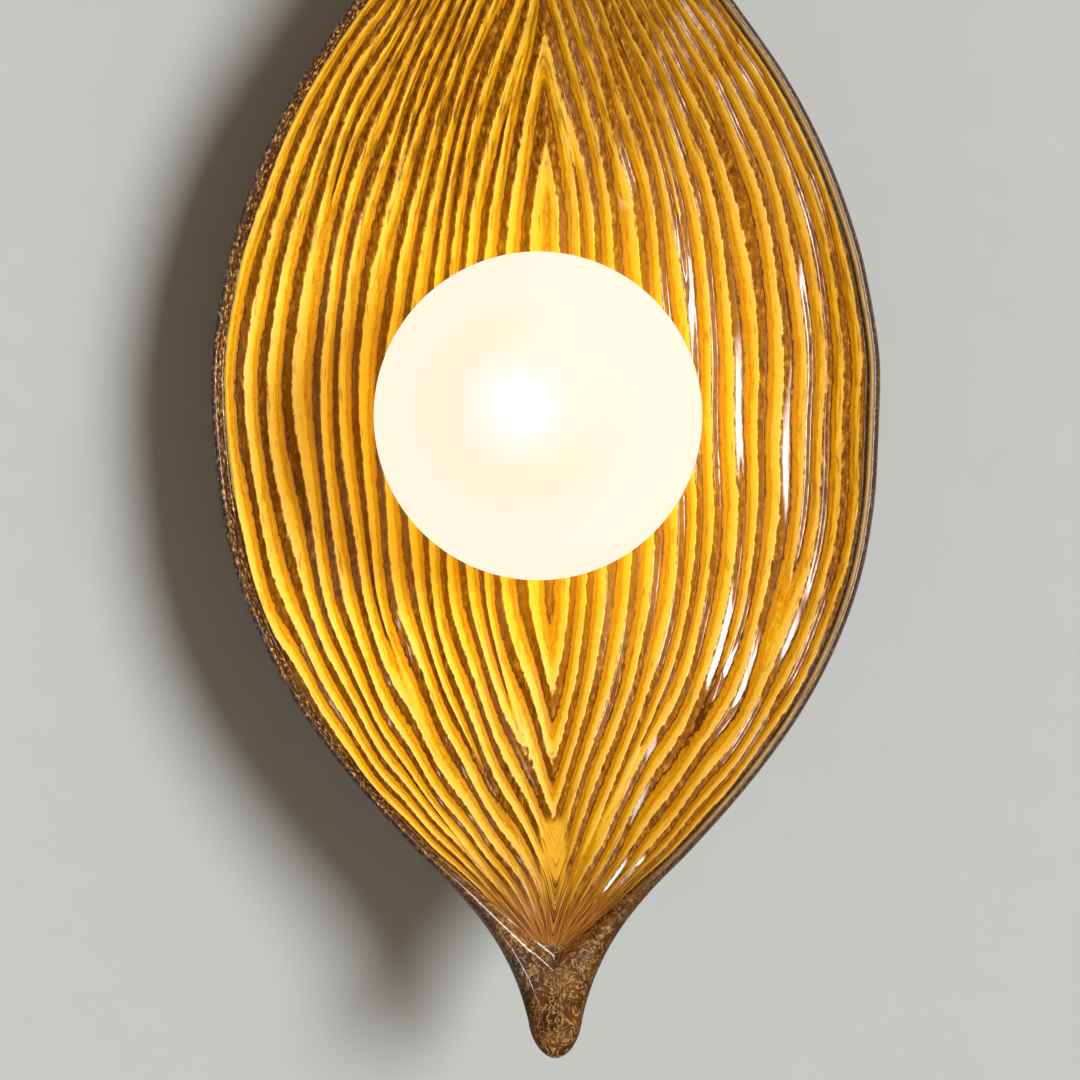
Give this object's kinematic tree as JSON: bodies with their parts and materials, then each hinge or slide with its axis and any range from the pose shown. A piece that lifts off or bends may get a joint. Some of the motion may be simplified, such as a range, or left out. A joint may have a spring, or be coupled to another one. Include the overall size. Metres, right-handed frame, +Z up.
{
  "type": "wall light",
  "caption": "Wall light with a tall ribbed leaf-shaped bowl, a round opal globe on a screwed neck at its middle and a round canopy that stands the leaf off the wall.",
  "frame": {"origin": "In the wall plane, on the axis of the globe, midway between the two wall-screw slots.", "axes": "The front faces -Y, +Y points into the wall, +Z is up along the leaf and +X is to the right seen from the front."},
  "size_m": [0.2528, 0.1642, 0.5],
  "materials": {
    "leaf_resin": "gloss lacquer over a yellow and brown stain",
    "bronze_paint": "satin",
    "zinc_steel": "satin zinc",
    "brass": "satin",
    "tinned_copper": "satin tin plate",
    "white_paint": "satin",
    "pad_rubber": "matte",
    "seal_rubber": "matte",
    "white_plastic": "matte",
    "brown_insulation": "matte",
    "blue_insulation": "matte",
    "earth_insulation": "matte, green with a yellow stripe",
    "lampholder_ceramic": "matte unglazed",
    "opal_glass": "gloss opal",
    "bulb_cover": "gloss frosted",
    "led_board": "matte board with phosphor chips"
  },
  "bodies": {
    "fixture": {"wall_bracket": "zinc_steel", "canopy": "bronze_paint", "canopy_side_screws": "bronze_paint", "earth_screw": "zinc_steel", "earth_rings": "tinned_copper", "earth_lead": "earth_insulation", "terminal_block": "white_plastic", "terminal_sleeves": "brass", "terminal_screws": "zinc_steel", "block_screw": "zinc_steel", "nipple": "zinc_steel", "nipple_bush": "white_plastic", "back_nut": "zinc_steel", "back_lock_washer": "zinc_steel", "leaf_pad_back": "pad_rubber", "leaf_body": "leaf_resin", "leaf_pad_front": "pad_rubber", "globe_holder": "white_paint", "front_washer": "zinc_steel", "front_nut": "zinc_steel", "lampholder_bracket": "zinc_steel", "lampholder_body": "lampholder_ceramic", "lampholder_contacts": "tinned_copper", "lampholder_screws": "zinc_steel", "live_lead": "brown_insulation", "neutral_lead": "blue_insulation"},
    "seal": {"neck_seal": "seal_rubber"},
    "globe": {"glass_globe": "opal_glass"},
    "bulb": {"bulb_base": "white_plastic", "bulb_pins": "tinned_copper", "bulb_capsule": "bulb_cover", "bulb_led_board": "led_board"}
  },
  "joints": [
    {"name": "globe_travel", "type": "slide", "parent": "fixture", "child": "seal", "axis": [0, -1, 0], "range_m": [0, 0.006]},
    {"name": "globe_turn", "type": "hinge", "parent": "seal", "child": "globe", "pos_m": [0, -0.104, 0], "axis": [0, -1, 0], "range_deg": [0, 540]},
    {"name": "bulb_pull", "type": "slide", "parent": "fixture", "child": "bulb", "axis": [0, -1, 0], "range_m": [0, 0.01]}
  ],
  "couplings": [
    {"joint": "globe_travel", "follows": "globe_turn", "m_per_rad": 0.00063662}
  ]
}
